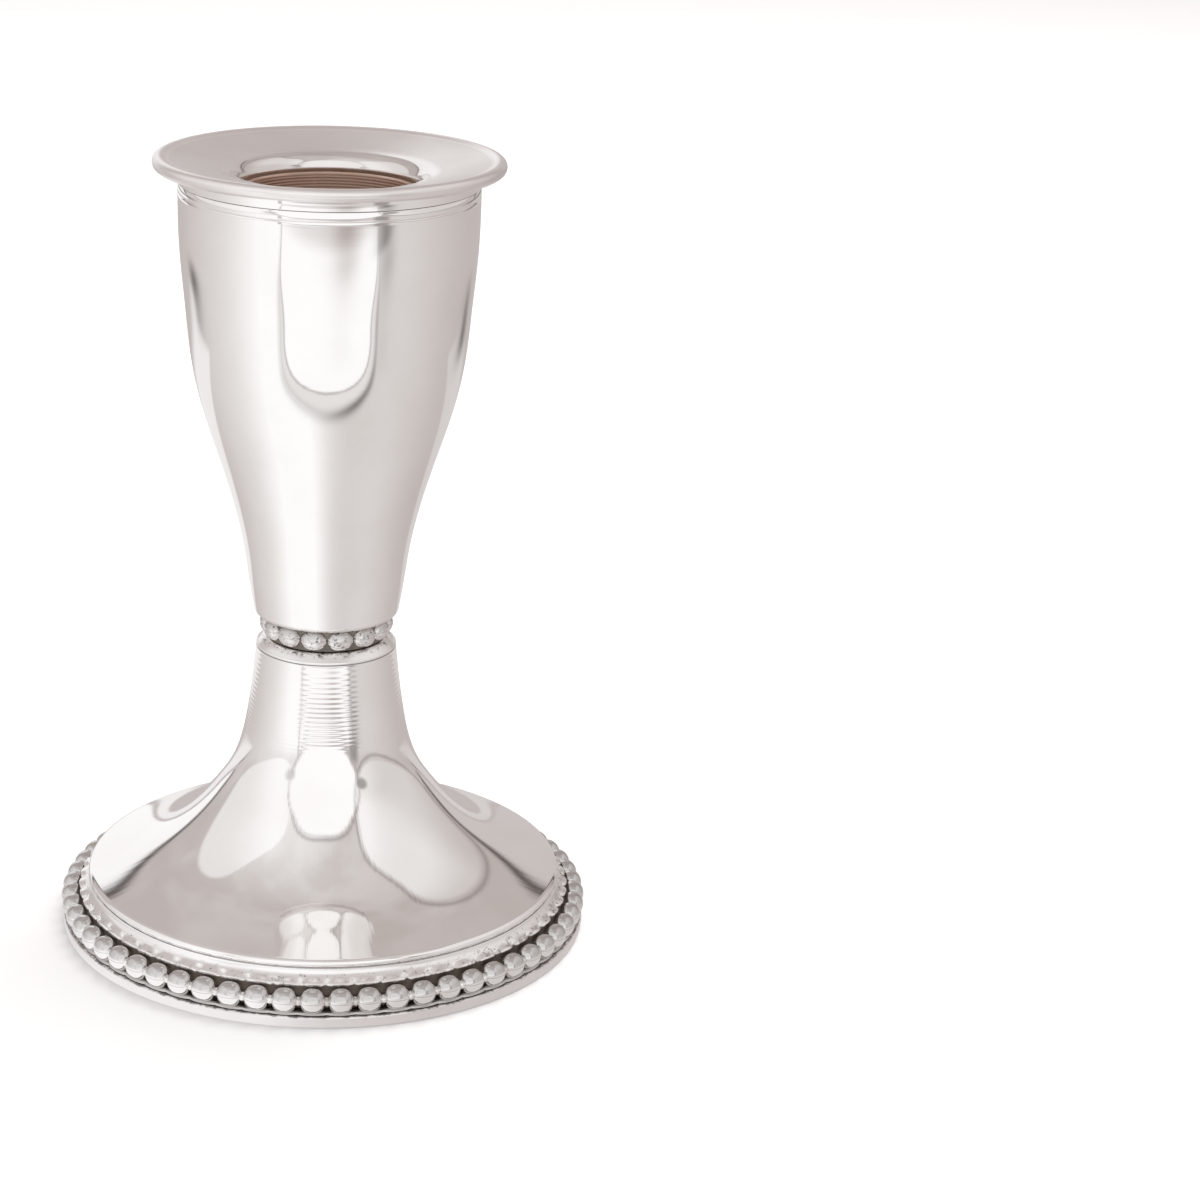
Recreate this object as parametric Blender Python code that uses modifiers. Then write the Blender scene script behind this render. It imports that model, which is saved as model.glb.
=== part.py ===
"""A silver candlestick: a lift-out candle nozzle in a vase-shaped body, on a loaded, beaded foot.

The origin is at the centre of the felt underside and +Z points up the candle's axis. Sizes below are in
millimetres and each mesh is built in metres. Almost every piece is turned about +Z, so a shape is given as
(radius, height) pairs. Pieces that touch on the real object keep GAP between them.
"""

import math

import bmesh
import bpy
import numpy as np
from mathutils import Matrix

MM = 0.001
GAP = 0.3
STEPS = 48
SCREW_MERGE = 0.0001

# Driving dimensions.
HEIGHT = 110.0
SHEET = 0.8
SOCKET_RADIUS = 11.66
SOCKET_DEPTH = 21.1
SLEEVE_WALL = 0.7

# Drip pan: a shallow dish that rounds over into the socket, with a round wire along its rim.
RIM_WIRE_RADIUS = 0.89
RIM_CIRCLE_RADIUS = 22.7
PAN_SHEET = 0.9
PAN_SLOPE = math.radians(11.5)
THROAT_RADIUS = SOCKET_RADIUS + 0.2
THROAT_ROUND = 2.2
THROAT_BOTTOM = HEIGHT - 4.4
PAN_OUTER_RADIUS = RIM_CIRCLE_RADIUS - RIM_WIRE_RADIUS - GAP

# Vase-shaped body: its outline from the mouth down to the rounded bottom edge.
VASE_OUTLINE = [
    (20.25, 106.2),
    (20.1, 98.3),
    (19.4, 90.2),
    (18.55, 82.1),
    (16.95, 75.0),
    (14.7, 68.0),
    (12.85, 61.8),
    (11.5, 55.7),
    (10.75, 50.6),
    (10.15, 47.0),
]
VASE_MOUTH = VASE_OUTLINE[0][1]
VASE_BOTTOM = 46.0
VASE_EDGE_ROUND = 1.0

# Collar under the pan, whose spigot drops into the vase's mouth.
COLLAR_TOP = VASE_MOUTH + GAP + 1.25
COLLAR_INNER = 18.2
SPIGOT_RADIUS = VASE_OUTLINE[0][0] - SHEET - 0.4
SPIGOT_LENGTH = 3.8

# Neck: beads between the body and the foot, around a short spool.
NECK_BEADS = 14
NECK_MIDDLE = 44.4
NECK_CIRCLE_RADIUS = 7.95
NECK_BEAD_HALF = (1.66, 1.4, 1.3)
SPOOL_RADIUS = 6.3

# Foot: its outline from the lip under the neck down to the edge of the dish.
FOOT_TOP = NECK_MIDDLE - NECK_BEAD_HALF[2] - GAP
FOOT_LIP = [(8.3, FOOT_TOP), (9.3, FOOT_TOP - 0.35), (9.75, FOOT_TOP - 0.9)]
FOOT_OUTLINE = [
    (9.82, 41.2),
    (10.2, 37.4),
    (10.85, 32.4),
    (11.85, 27.3),
    (13.4, 23.2),
    (15.35, 20.2),
    (17.7, 17.3),
    (24.5, 11.6),
    (33.2, 8.05),
]
FOOT_WALL_RADIUS = 33.3

# Base: a ring that carries the foot and a border of beads.
BASE_RING_TOP = 1.6
BASE_RING_OUTER = 37.3
BASE_RING_INNER = 31.4
BASE_BEADS = 60
BEAD_RADIUS = 1.65
BEAD_CIRCLE_RADIUS = 35.95
BEAD_MIDDLE = BASE_RING_TOP + GAP + BEAD_RADIUS
BORDER_INNER = FOOT_WALL_RADIUS + 0.4
BORDER_TOP = 5.8
FELT_RADIUS = BASE_RING_INNER - 0.4
PLATE_RADIUS = FOOT_WALL_RADIUS - SHEET - 0.4
FILL_TOP = 34.0
FILL_RADIUS = 31.2
FILL_INSET = SHEET + 0.8

# Stud and its hardware, which clamp the body to the foot.
STUD_RADIUS = 2.1
STUD_HOLE = STUD_RADIUS + GAP
STUD_ENDS = (37.0, 53.0)
NUT_FLATS = 7.0
NUT_HEIGHT = 3.2
UPPER_WASHER_RADIUS = 5.5
SPREADER_RADIUS = 7.6

SILVER = ("silver", (0.86, 0.84, 0.82), 0.08, 1.0)
BRIGHT_SILVER = ("silver_beads", (0.84, 0.82, 0.80), 0.14, 1.0)
SOCKET_SILVER = ("silver_satin", (0.55, 0.47, 0.41), 0.35, 1.0)
STEEL = ("zinc_steel", (0.62, 0.63, 0.65), 0.35, 1.0)
BRASS = ("brass", (0.72, 0.55, 0.26), 0.30, 1.0)
PLASTER = ("plaster", (0.72, 0.69, 0.63), 0.90, 0.0)
BOARD = ("board", (0.38, 0.30, 0.22), 0.85, 0.0)
FELT = ("felt", (0.03, 0.14, 0.08), 0.95, 0.0)


def clear_scene():
    for obj in list(bpy.data.objects):
        bpy.data.objects.remove(obj)


def new_collection(name):
    collection = bpy.data.collections.new(name)
    bpy.context.scene.collection.children.link(collection)
    return collection


def material(finish):
    """The Principled material of a finish, made once."""
    name, colour, roughness, metallic = finish
    found = bpy.data.materials.get(name)
    if found:
        return found
    made = bpy.data.materials.new(name)
    made.use_nodes = True
    shader = made.node_tree.nodes["Principled BSDF"]
    shader.inputs["Base Color"].default_value = (*colour, 1.0)
    shader.inputs["Roughness"].default_value = roughness
    shader.inputs["Metallic"].default_value = metallic
    made.diffuse_color = (*colour, 1.0)
    return made


def smooth_outline(stations, points_per_span):
    """Points on the natural cubic spline through the stations, which bends without a kink."""
    knots = np.array(stations, dtype=float)
    span = np.hypot(*np.diff(knots, axis=0).T)
    place = np.concatenate([[0.0], np.cumsum(span)])
    count = len(knots)
    left = np.eye(count)
    right = np.zeros((count, 2))
    for i in range(1, count - 1):
        left[i, i - 1 : i + 2] = span[i - 1], 2 * (span[i - 1] + span[i]), span[i]
        rise_after = (knots[i + 1] - knots[i]) / span[i]
        rise_before = (knots[i] - knots[i - 1]) / span[i - 1]
        right[i] = 6 * (rise_after - rise_before)
    bend = np.linalg.solve(left, right)
    points = []
    for at in np.linspace(0.0, place[-1], points_per_span * (count - 1) + 1):
        i = min(int(np.searchsorted(place, at, side="right")) - 1, count - 2)
        a = (place[i + 1] - at) / span[i]
        b = 1.0 - a
        curl = ((a**3 - a) * bend[i] + (b**3 - b) * bend[i + 1]) * span[i] ** 2 / 6
        points.append(tuple(a * knots[i] + b * knots[i + 1] + curl))
    return points


def arc(centre, radius, start, end, count):
    """Points round part of a circle; the angles are in degrees, counted from +R towards +Z."""
    angles = np.radians(np.linspace(start, end, count))
    return [(centre[0] + radius * math.cos(a), centre[1] + radius * math.sin(a)) for a in angles]


def inset(points, depth):
    """The outline moved by depth to the inner side of a path that runs down an outer side."""
    path = np.array(points)
    run = np.gradient(path, axis=0)
    run /= np.linalg.norm(run, axis=1)[:, None]
    inner = np.column_stack([run[:, 1], -run[:, 0]])
    return [tuple(point) for point in path + depth * inner]


def turned(name, profile, finish, closed=False, wall=0.0, steps=STEPS):
    """A profile turned about +Z: a closed ring, a solid whose ends are on the axis, or a shell with a wall."""
    mesh = bpy.data.meshes.new(name)
    points = [(radius * MM, 0.0, height * MM) for radius, height in profile]
    edges = [(i, i + 1) for i in range(len(points) - 1)]
    if closed:
        edges.append((len(points) - 1, 0))
    mesh.from_pydata(points, edges, [])
    obj = bpy.data.objects.new(name, mesh)
    PARTS.objects.link(obj)
    screw = obj.modifiers.new("Turn", "SCREW")
    screw.steps = steps
    screw.render_steps = steps
    screw.use_merge_vertices = True
    screw.merge_threshold = SCREW_MERGE
    if wall:
        solidify = obj.modifiers.new("Wall", "SOLIDIFY")
        solidify.thickness = wall * MM
        solidify.offset = -1.0
        solidify.use_even_offset = True
    mesh.materials.append(material(finish))
    return obj


def plate(name, radius, bottom, top, finish, hole=0.0, steps=STEPS):
    """A flat disc, or a flat ring if it has a hole."""
    if hole:
        return turned(name, box_outline(hole, radius, bottom, top), finish, closed=True, steps=steps)
    profile = [(0.0, top), (radius, top), (radius, bottom), (0.0, bottom)]
    return turned(name, profile, finish, steps=steps)


def box_outline(inner, outer, bottom, top):
    return [(outer, top), (outer, bottom), (inner, bottom), (inner, top)]


def bead_circle(name, count, circle_radius, height, half, slices):
    """A helper mesh of egg-shaped beads round the axis; half is their tangential, radial and upright half size."""
    mesh = bpy.data.meshes.new(name)
    build = bmesh.new()
    for i in range(count):
        turn = Matrix.Rotation(2 * math.pi * (i + 0.5) / count, 4, "Z")
        out = Matrix.Translation((0.0, -circle_radius * MM, height * MM))
        size = Matrix.Diagonal((half[0] * MM, half[1] * MM, half[2] * MM, 1.0))
        bmesh.ops.create_uvsphere(
            build, u_segments=slices, v_segments=slices // 2 + 1, radius=1.0, matrix=turn @ out @ size
        )
    build.to_mesh(mesh)
    build.free()
    obj = bpy.data.objects.new(name, mesh)
    HELPERS.objects.link(obj)
    obj.hide_render = True
    obj.display_type = "WIRE"
    return obj


def join_with(obj, helper, operation="UNION"):
    boolean = obj.modifiers.new(operation.title(), "BOOLEAN")
    boolean.operation = operation
    boolean.solver = "EXACT"
    boolean.object = helper


def drip_pan():
    """From the throat's bottom edge up, over the round and out along the dish."""
    centre = (THROAT_RADIUS + THROAT_ROUND, THROAT_BOTTOM + GAP)
    top_angle = 90.0 + math.degrees(PAN_SLOPE)
    throat = [(THROAT_RADIUS, THROAT_BOTTOM)]
    over = arc(centre, THROAT_ROUND, 180.0, top_angle, 5)
    reach = PAN_OUTER_RADIUS - over[-1][0]
    edge = (PAN_OUTER_RADIUS, over[-1][1] + reach * math.tan(PAN_SLOPE))
    return turned("drip_pan", throat + over + [edge], SILVER, wall=PAN_SHEET)


def pan_rim_wire():
    bpy.ops.mesh.primitive_torus_add(
        major_radius=RIM_CIRCLE_RADIUS * MM,
        minor_radius=RIM_WIRE_RADIUS * MM,
        major_segments=STEPS,
        minor_segments=8,
        location=(0.0, 0.0, (HEIGHT - RIM_WIRE_RADIUS) * MM),
    )
    obj = bpy.context.object
    obj.name = "pan_rim_wire"
    obj.data.materials.append(material(SILVER))
    obj.data.shade_smooth()
    for collection in list(obj.users_collection):
        collection.objects.unlink(obj)
    PARTS.objects.link(obj)
    return obj


def pan_collar():
    """A band as wide as the vase, over a narrower spigot."""
    shoulder = VASE_MOUTH + GAP
    outer = VASE_OUTLINE[0][0]
    profile = [
        (outer, COLLAR_TOP),
        (outer, shoulder),
        (SPIGOT_RADIUS, shoulder),
        (SPIGOT_RADIUS, shoulder - SPIGOT_LENGTH),
        (COLLAR_INNER, shoulder - SPIGOT_LENGTH),
        (COLLAR_INNER, COLLAR_TOP),
    ]
    return turned("pan_collar", profile, SILVER, closed=True)


def candle_socket():
    """The sleeve, with a disc set into its lower end for the candle to stand on."""
    top = THROAT_BOTTOM - GAP
    bottom = top - SOCKET_DEPTH - SHEET
    profile = box_outline(SOCKET_RADIUS, SOCKET_RADIUS + SLEEVE_WALL, bottom, top)
    turned("socket_sleeve", profile, SOCKET_SILVER, closed=True)
    plate("socket_floor", SOCKET_RADIUS - GAP, bottom, bottom + SHEET, SOCKET_SILVER)


def vase():
    bottom_edge = arc(
        (VASE_OUTLINE[-1][0] - VASE_EDGE_ROUND, VASE_BOTTOM + VASE_EDGE_ROUND), VASE_EDGE_ROUND, 0.0, -90.0, 4
    )
    wall = smooth_outline(VASE_OUTLINE, 1)[:-1]
    turned("vase_shell", wall + bottom_edge + [(STUD_HOLE, VASE_BOTTOM)], SILVER, wall=SHEET)
    seat_top = VASE_MOUTH - SPIGOT_LENGTH
    plate("vase_seat_ring", SPIGOT_RADIUS, seat_top - 1.7, seat_top, SILVER, hole=COLLAR_INNER)


def neck():
    bottom = NECK_MIDDLE - NECK_BEAD_HALF[2]
    top = NECK_MIDDLE + NECK_BEAD_HALF[2]
    plate("neck_spool", SPOOL_RADIUS, bottom, top, SILVER, hole=STUD_HOLE, steps=24)
    core = box_outline(SPOOL_RADIUS + GAP, NECK_CIRCLE_RADIUS + 0.25, bottom + 0.1, top - 0.1)
    ring = turned("neck_bead_ring", core, BRIGHT_SILVER, closed=True, steps=2 * NECK_BEADS)
    beads = bead_circle("neck_beads", NECK_BEADS, NECK_CIRCLE_RADIUS, NECK_MIDDLE, NECK_BEAD_HALF, 8)
    join_with(ring, beads)


def foot():
    top = [(STUD_HOLE, FOOT_TOP)] + FOOT_LIP
    edge = [(FOOT_WALL_RADIUS + 0.25, 7.6), (FOOT_WALL_RADIUS, 7.1), (FOOT_WALL_RADIUS, BASE_RING_TOP + 0.35)]
    turned("foot_shell", top + smooth_outline(FOOT_OUTLINE, 1) + edge, SILVER, wall=SHEET)
    under = inset(smooth_outline(FOOT_OUTLINE, 1), FILL_INSET)
    side = [point for point in under if point[1] < FILL_TOP - 0.5 and point[0] < FILL_RADIUS]
    bottom = BASE_RING_TOP + 2 * GAP + SHEET + 0.1
    shoulder = (side[0][0] - 0.15, FILL_TOP)
    profile = [(0.0, FILL_TOP), shoulder] + side + [(FILL_RADIUS, bottom), (0.0, bottom)]
    turned("weight_fill", profile, PLASTER)


def base():
    ring = [
        (BASE_RING_OUTER - 0.3, BASE_RING_TOP),
        (BASE_RING_OUTER, BASE_RING_TOP - 0.35),
        (BASE_RING_OUTER, GAP + 0.35),
        (BASE_RING_OUTER - 0.35, GAP),
        (BASE_RING_INNER, GAP),
        (BASE_RING_INNER, BASE_RING_TOP),
    ]
    turned("base_ring", ring, SILVER, closed=True, steps=BASE_BEADS)
    foot_of_border = BASE_RING_TOP + GAP
    strip = [
        (BORDER_INNER + 0.7, BORDER_TOP),
        (BORDER_INNER + 0.9, 5.0),
        (BEAD_CIRCLE_RADIUS - 0.3, 4.3),
        (BEAD_CIRCLE_RADIUS - 0.3, 2.7),
        (BEAD_CIRCLE_RADIUS + 0.5, foot_of_border),
        (BORDER_INNER, foot_of_border),
        (BORDER_INNER, BORDER_TOP),
    ]
    border = turned("bead_border", strip, BRIGHT_SILVER, closed=True, steps=BASE_BEADS)
    half = (BEAD_RADIUS, BEAD_RADIUS, BEAD_RADIUS - 0.02)
    beads = bead_circle("base_beads", BASE_BEADS, BEAD_CIRCLE_RADIUS, BEAD_MIDDLE, half, 6)
    join_with(border, beads)
    plate_bottom = BASE_RING_TOP + GAP + 0.05
    plate("base_plate", PLATE_RADIUS, plate_bottom, plate_bottom + SHEET, BOARD)
    plate("felt_pad", FELT_RADIUS, 0.0, BASE_RING_TOP, FELT)


def nut(name, bottom):
    """A hexagonal nut with a round hole for the stud."""
    bpy.ops.mesh.primitive_cylinder_add(
        vertices=6,
        radius=NUT_FLATS / math.sqrt(3) * MM,
        depth=NUT_HEIGHT * MM,
        location=(0.0, 0.0, (bottom + NUT_HEIGHT / 2) * MM),
    )
    obj = bpy.context.object
    obj.name = name
    obj.data.materials.append(material(BRASS))
    bpy.ops.mesh.primitive_cylinder_add(
        vertices=24, radius=STUD_HOLE * MM, depth=2 * NUT_HEIGHT * MM, location=obj.location
    )
    drill = bpy.context.object
    drill.name = name + "_drill"
    drill.hide_render = True
    drill.display_type = "WIRE"
    for piece, home in ((obj, PARTS), (drill, HELPERS)):
        for collection in list(piece.users_collection):
            collection.objects.unlink(piece)
        home.objects.link(piece)
    join_with(obj, drill, "DIFFERENCE")


def stud_and_hardware():
    low, high = STUD_ENDS
    tip = 0.5
    profile = [
        (0.0, high),
        (STUD_RADIUS - tip, high),
        (STUD_RADIUS, high - tip),
        (STUD_RADIUS, low + tip),
        (STUD_RADIUS - tip, low),
        (0.0, low),
    ]
    turned("tie_stud", profile, STEEL, steps=24)
    washer_bottom = VASE_BOTTOM + SHEET + GAP
    plate("upper_washer", UPPER_WASHER_RADIUS, washer_bottom, washer_bottom + SHEET, STEEL, STUD_HOLE, 24)
    nut("upper_nut", washer_bottom + SHEET + GAP)
    spreader_top = FOOT_TOP - SHEET - GAP
    plate("spreader_washer", SPREADER_RADIUS, spreader_top - SHEET, spreader_top, STEEL, STUD_HOLE, 24)
    nut("lower_nut", spreader_top - SHEET - GAP - NUT_HEIGHT)


clear_scene()
PARTS = new_collection("silver_candlestick")
HELPERS = new_collection("helpers")
drip_pan()
pan_rim_wire()
pan_collar()
candle_socket()
vase()
neck()
foot()
base()
stud_and_hardware()
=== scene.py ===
"""The looks of a short silver candlestick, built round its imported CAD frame.

Sizes are in millimetres and shapes are (radius, height) outlines turned about +Z; meshes are made in metres.
"""
import math
import random

import bmesh
import bpy
import numpy as np
from mathutils import Euler, Matrix, Vector

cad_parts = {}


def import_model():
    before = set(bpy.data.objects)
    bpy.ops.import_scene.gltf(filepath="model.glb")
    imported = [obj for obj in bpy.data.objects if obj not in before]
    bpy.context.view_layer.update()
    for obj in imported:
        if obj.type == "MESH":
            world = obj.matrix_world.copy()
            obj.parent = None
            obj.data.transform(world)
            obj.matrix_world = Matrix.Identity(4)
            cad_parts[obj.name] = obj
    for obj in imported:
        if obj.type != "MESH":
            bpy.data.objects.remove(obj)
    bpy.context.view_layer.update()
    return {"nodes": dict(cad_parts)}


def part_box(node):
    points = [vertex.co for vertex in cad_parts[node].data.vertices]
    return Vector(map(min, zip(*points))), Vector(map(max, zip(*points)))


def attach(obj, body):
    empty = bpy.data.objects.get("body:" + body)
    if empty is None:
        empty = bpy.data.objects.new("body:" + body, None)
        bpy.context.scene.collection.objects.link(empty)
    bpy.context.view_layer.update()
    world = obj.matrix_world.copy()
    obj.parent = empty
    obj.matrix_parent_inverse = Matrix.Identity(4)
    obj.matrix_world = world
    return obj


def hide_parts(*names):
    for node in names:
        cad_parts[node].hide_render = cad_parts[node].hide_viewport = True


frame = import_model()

MM = 0.001
TURN_STEPS = 288
FINE_EDGE = 0.12
SEAM = 0.05
AXIS_RADIUS = 1e-7
FULL_TURN = 2 * math.pi
DEGREES = 180.0 / math.pi
RANDOM = random.Random(7)


# ---------------------------------------------------------------- sizes read from the frame

def radius_of(node):
    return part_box(node)[1].x / MM


def bottom_of(node):
    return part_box(node)[0].z / MM


def top_of(node):
    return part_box(node)[1].z / MM


HEIGHT = top_of("pan_rim_wire")
RIM_OUTER = radius_of("pan_rim_wire")
RIM_WIRE = (HEIGHT - bottom_of("pan_rim_wire")) / 2
RIM_CENTRE = (RIM_OUTER - RIM_WIRE, HEIGHT - RIM_WIRE)
SHEET = 0.8
PAN_SHEET = 0.9
PAN_SLOPE = math.radians(11.5)
THROAT_BOTTOM = bottom_of("drip_pan")
THROAT_ROUND = 2.2
SLEEVE_OUTER = radius_of("socket_sleeve")
SOCKET_RADIUS = SLEEVE_OUTER - 0.7
SLEEVE_BOTTOM = bottom_of("socket_sleeve")
COLLAR_OUTER = radius_of("pan_collar")
COLLAR_BOTTOM = bottom_of("pan_collar")
COLLAR_SHOULDER = top_of("vase_shell") + 0.3
COLLAR_INNER = 18.2
COLLAR_TOP = 107.93
SPIGOT_RADIUS = COLLAR_OUTER - SHEET - 0.4
VASE_BOTTOM = bottom_of("vase_shell")
STUD_HOLE = radius_of("tie_stud") + 0.3
FOOT_TOP = top_of("foot_shell")
FOOT_WALL = 33.3
RIPPLES_FROM = 29.0
NECK_MIDDLE = (top_of("neck_bead_ring") + bottom_of("neck_bead_ring")) / 2
NECK_BEADS = 14
BASE_BEADS = 60
NECK_CIRCLE = 8.0
BEAD_CIRCLE = 35.95
BEAD_MIDDLE = 3.5
RING_OUTER = radius_of("base_ring")
RING_TOP = top_of("base_ring")
FELT_RADIUS = radius_of("felt_pad")

VASE_OUTLINE = [
    (20.25, 104.6),
    (20.1, 98.3),
    (19.4, 90.2),
    (18.55, 82.1),
    (16.95, 75.0),
    (14.7, 68.0),
    (12.85, 61.8),
    (11.5, 55.7),
    (10.75, 50.6),
    (10.15, 47.0),
]
FOOT_OUTLINE = [
    (9.82, 41.1),
    (10.2, 37.4),
    (10.85, 32.4),
    (11.85, 27.3),
    (13.4, 23.2),
    (15.35, 20.2),
    (17.7, 17.3),
    (24.5, 11.6),
    (33.1, 8.2),
]


# ---------------------------------------------------------------- outlines

def smooth_outline(stations, count):
    """Points on the natural cubic spline through the stations, which bends without a kink."""
    knots = np.array(stations, dtype=float)
    span = np.hypot(*np.diff(knots, axis=0).T)
    place = np.concatenate([[0.0], np.cumsum(span)])
    last = len(knots) - 1
    left = np.eye(last + 1)
    right = np.zeros((last + 1, 2))
    for i in range(1, last):
        left[i, i - 1 : i + 2] = span[i - 1], 2 * (span[i - 1] + span[i]), span[i]
        rise_after = (knots[i + 1] - knots[i]) / span[i]
        rise_before = (knots[i] - knots[i - 1]) / span[i - 1]
        right[i] = 6 * (rise_after - rise_before)
    bend = np.linalg.solve(left, right)
    points = []
    for at in np.linspace(0.0, place[-1], count):
        i = min(int(np.searchsorted(place, at, side="right")) - 1, last - 1)
        a = (place[i + 1] - at) / span[i]
        b = 1.0 - a
        curl = ((a**3 - a) * bend[i] + (b**3 - b) * bend[i + 1]) * span[i] ** 2 / 6
        points.append(tuple(a * knots[i] + b * knots[i + 1] + curl))
    return points


def arc(centre, radius, start, end, count):
    """Points round part of a circle; the angles are in degrees, counted from +R towards +Z."""
    angles = np.radians(np.linspace(start, end, count))
    return [(centre[0] + radius * math.cos(a), centre[1] + radius * math.sin(a)) for a in angles]


def rounded(corners, radius=FINE_EDGE, count=5):
    """A closed outline whose corners are eased: each corner is (r, z) or (r, z, its own radius)."""
    points = []
    total = len(corners)
    for i, corner in enumerate(corners):
        ease = corner[2] if len(corner) > 2 else radius
        here = Vector(corner[:2])
        before = Vector(corners[i - 1][:2]) - here
        after = Vector(corners[(i + 1) % total][:2]) - here
        if ease <= 0 or min(before.length, after.length) == 0:
            points.append(tuple(here))
            continue
        half = before.angle(after) / 2
        reach = min(ease / math.tan(half), 0.45 * before.length, 0.45 * after.length)
        start = here + before.normalized() * reach
        end = here + after.normalized() * reach
        for t in np.linspace(0.0, 1.0, count):
            points.append(tuple((1 - t) ** 2 * start + 2 * t * (1 - t) * here + t**2 * end))
    return points


def offset(points, depth):
    """The outline moved by depth to the inner side of a path that runs down an outer side."""
    path = np.array(points)
    run = np.gradient(path, axis=0)
    run /= np.linalg.norm(run, axis=1)[:, None]
    inner = np.column_stack([run[:, 1], -run[:, 0]])
    return [tuple(point) for point in path + depth * inner]


def groove(height, radius, depth, width):
    """Points that cut a fine turned line into a wall which runs down at this radius."""
    steps = np.linspace(-1.0, 1.0, 9)
    return [(radius - depth * (1 + math.cos(math.pi * t)) / 2, height - t * width) for t in steps]


# ---------------------------------------------------------------- meshes

def finish_mesh(name, build, material, sharp=40.0):
    mesh = bpy.data.meshes.new(name)
    bmesh.ops.recalc_face_normals(build, faces=build.faces)
    build.to_mesh(mesh)
    build.free()
    mesh.shade_smooth()
    mesh.set_sharp_from_angle(angle=math.radians(sharp))
    mesh.materials.append(material)
    obj = bpy.data.objects.new(name, mesh)
    bpy.context.scene.collection.objects.link(obj)
    return obj


def mesh_build(points, faces):
    """An editable mesh of these points and faces."""
    mesh = bpy.data.meshes.new("draft")
    mesh.from_pydata(points, [], faces)
    build = bmesh.new()
    build.from_mesh(mesh)
    bpy.data.meshes.remove(mesh)
    return build


def place(obj, body, slot, *nodes):
    """Joins a finished piece to its body and hides the CAD nodes that it stands for."""
    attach(obj, body)
    if nodes:
        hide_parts(*nodes)
    return obj


def turned(name, profile, material, closed=True, steps=TURN_STEPS, shape=None, sharp=40.0):
    """A turned surface; shape(angles, radii, heights) may change the outline by angle."""
    outline = np.array(profile)
    angles = np.linspace(0.0, FULL_TURN, steps, endpoint=False)[None, :]
    radii = np.repeat(outline[:, :1], steps, axis=1)
    heights = np.repeat(outline[:, 1:], steps, axis=1)
    if shape:
        radii, heights = shape(angles, radii, heights)
    points = np.stack([radii * np.cos(angles), radii * np.sin(angles), heights], axis=-1) * MM
    rows = len(outline)
    upper = np.arange(rows if closed else rows - 1)[:, None]
    here = np.arange(steps)[None, :]
    lower, following = (upper + 1) % rows, (here + 1) % steps
    above, below = upper * steps, lower * steps
    corners = [above + here, above + following, below + following, below + here]
    faces = np.stack(corners, axis=-1).reshape(-1, 4)
    build = mesh_build(points.reshape(-1, 3).tolist(), faces.tolist())
    centre = [v for v in build.verts if v.co.xy.length < AXIS_RADIUS]
    bmesh.ops.remove_doubles(build, verts=centre, dist=AXIS_RADIUS)
    return finish_mesh(name, build, material, sharp)


def line_inside(obj, material):
    """Gives the faces that look towards the axis their own material."""
    obj.data.materials.append(material)
    for face in obj.data.polygons:
        if face.center.xy.dot(face.normal.xy) < 0:
            face.material_index = 1


def hand_finish(depth, seed):
    """A slow unevenness of a spun and hand-polished wall: depth is its size in millimetres."""
    dice = random.Random(seed)
    waves = [
        (k, dice.uniform(0, FULL_TURN), dice.uniform(0.08, 0.3), dice.uniform(0.5, 1.0) / k)
        for k in (2, 3, 5, 7)
    ]

    def shape(angles, radii, heights):
        change = sum(size * np.sin(k * angles + phase + rate * heights) for k, phase, rate, size in waves)
        return radii + depth * change, heights

    return shape


def egg(slices):
    """The points and faces of a unit ball, to be repeated round a bead ring."""
    build = bmesh.new()
    bmesh.ops.create_uvsphere(build, u_segments=slices, v_segments=slices * 2 // 3, radius=1.0)
    build.verts.ensure_lookup_table()
    points = np.array([v.co for v in build.verts])
    faces = [[v.index for v in face.verts] for face in build.faces]
    build.free()
    return points, faces


def bead_ring(name, angles, circle_radius, height, half, slices, material, wobble=0.05, squarish=1.0):
    """A ring of cast beads, each a little uneven; half is their half size round, out and up.

    squarish below 1 fills out their sides, so that neighbours meet on a broader face.
    """
    ball, ball_faces = egg(slices)
    ball[:, 0] = np.sign(ball[:, 0]) * np.abs(ball[:, 0]) ** squarish
    points, faces = [], []
    for angle in angles:
        lean = Euler([RANDOM.uniform(-wobble, wobble) for _ in range(3)]).to_matrix()
        grow = [h * (1 - 0.4 * RANDOM.uniform(0.0, wobble)) for h in half]
        bead = (ball * grow) @ np.array(lean).T + (0.0, -circle_radius, height)
        faces += [[i + len(ball) * len(points) for i in face] for face in ball_faces]
        points.append(bead @ np.array(Matrix.Rotation(angle, 3, "Z")).T * MM)
    return finish_mesh(name, mesh_build(np.concatenate(points).tolist(), faces), material)


def ring_angles(count, shift=0.5):
    return [FULL_TURN * (i + shift) / count for i in range(count)]


# ---------------------------------------------------------------- materials

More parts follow.
